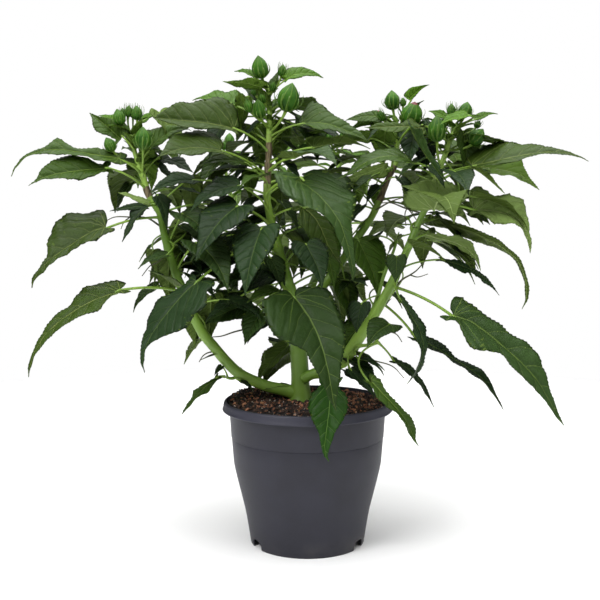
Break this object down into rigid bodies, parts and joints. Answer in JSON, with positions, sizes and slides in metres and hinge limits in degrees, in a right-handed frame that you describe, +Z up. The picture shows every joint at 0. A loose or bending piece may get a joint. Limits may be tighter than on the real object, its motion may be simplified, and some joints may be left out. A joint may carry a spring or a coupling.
{
  "type": "potted hibiscus shrub",
  "caption": "Leafy hibiscus shrub with closed buds in a round nursery pot: a thick green trunk forks into leaning boughs.",
  "frame": {"origin": "centre of the pad under the pot, on the floor", "axes": "+Z up, the pictured side towards -Y, +X to the right as seen from there"},
  "size_m": [0.6628, 0.4234, 0.5906],
  "materials": {
    "pot_plastic": "fine matt moulding, dark grey",
    "peat_soil": "damp peat with bark chips",
    "green_stem": "smooth green skin with patches of thin bark",
    "leaves": "soft satin leaf"
  },
  "bodies": {
    "root": {"pot": "pot_plastic", "soil": "peat_soil", "main-stem": "green_stem", "elbow-limb": "green_stem", "right-bough": "green_stem", "middle-bough": "green_stem", "left-bough": "green_stem", "back-left-bough": "green_stem", "back-right-bough": "green_stem", "crown-center-lower": "leaves", "crown-center-upper": "leaves", "crown-right-lower": "leaves", "crown-right-upper": "leaves", "crown-middle": "leaves", "crown-left-lower": "leaves", "crown-left-upper": "leaves", "crown-back-left": "leaves", "crown-back-right": "leaves", "low-right-spray": "leaves", "right-side-spray": "leaves", "low-front-spray": "leaves", "low-left-spray": "leaves", "low-back-spray": "leaves"}
  },
  "joints": []
}
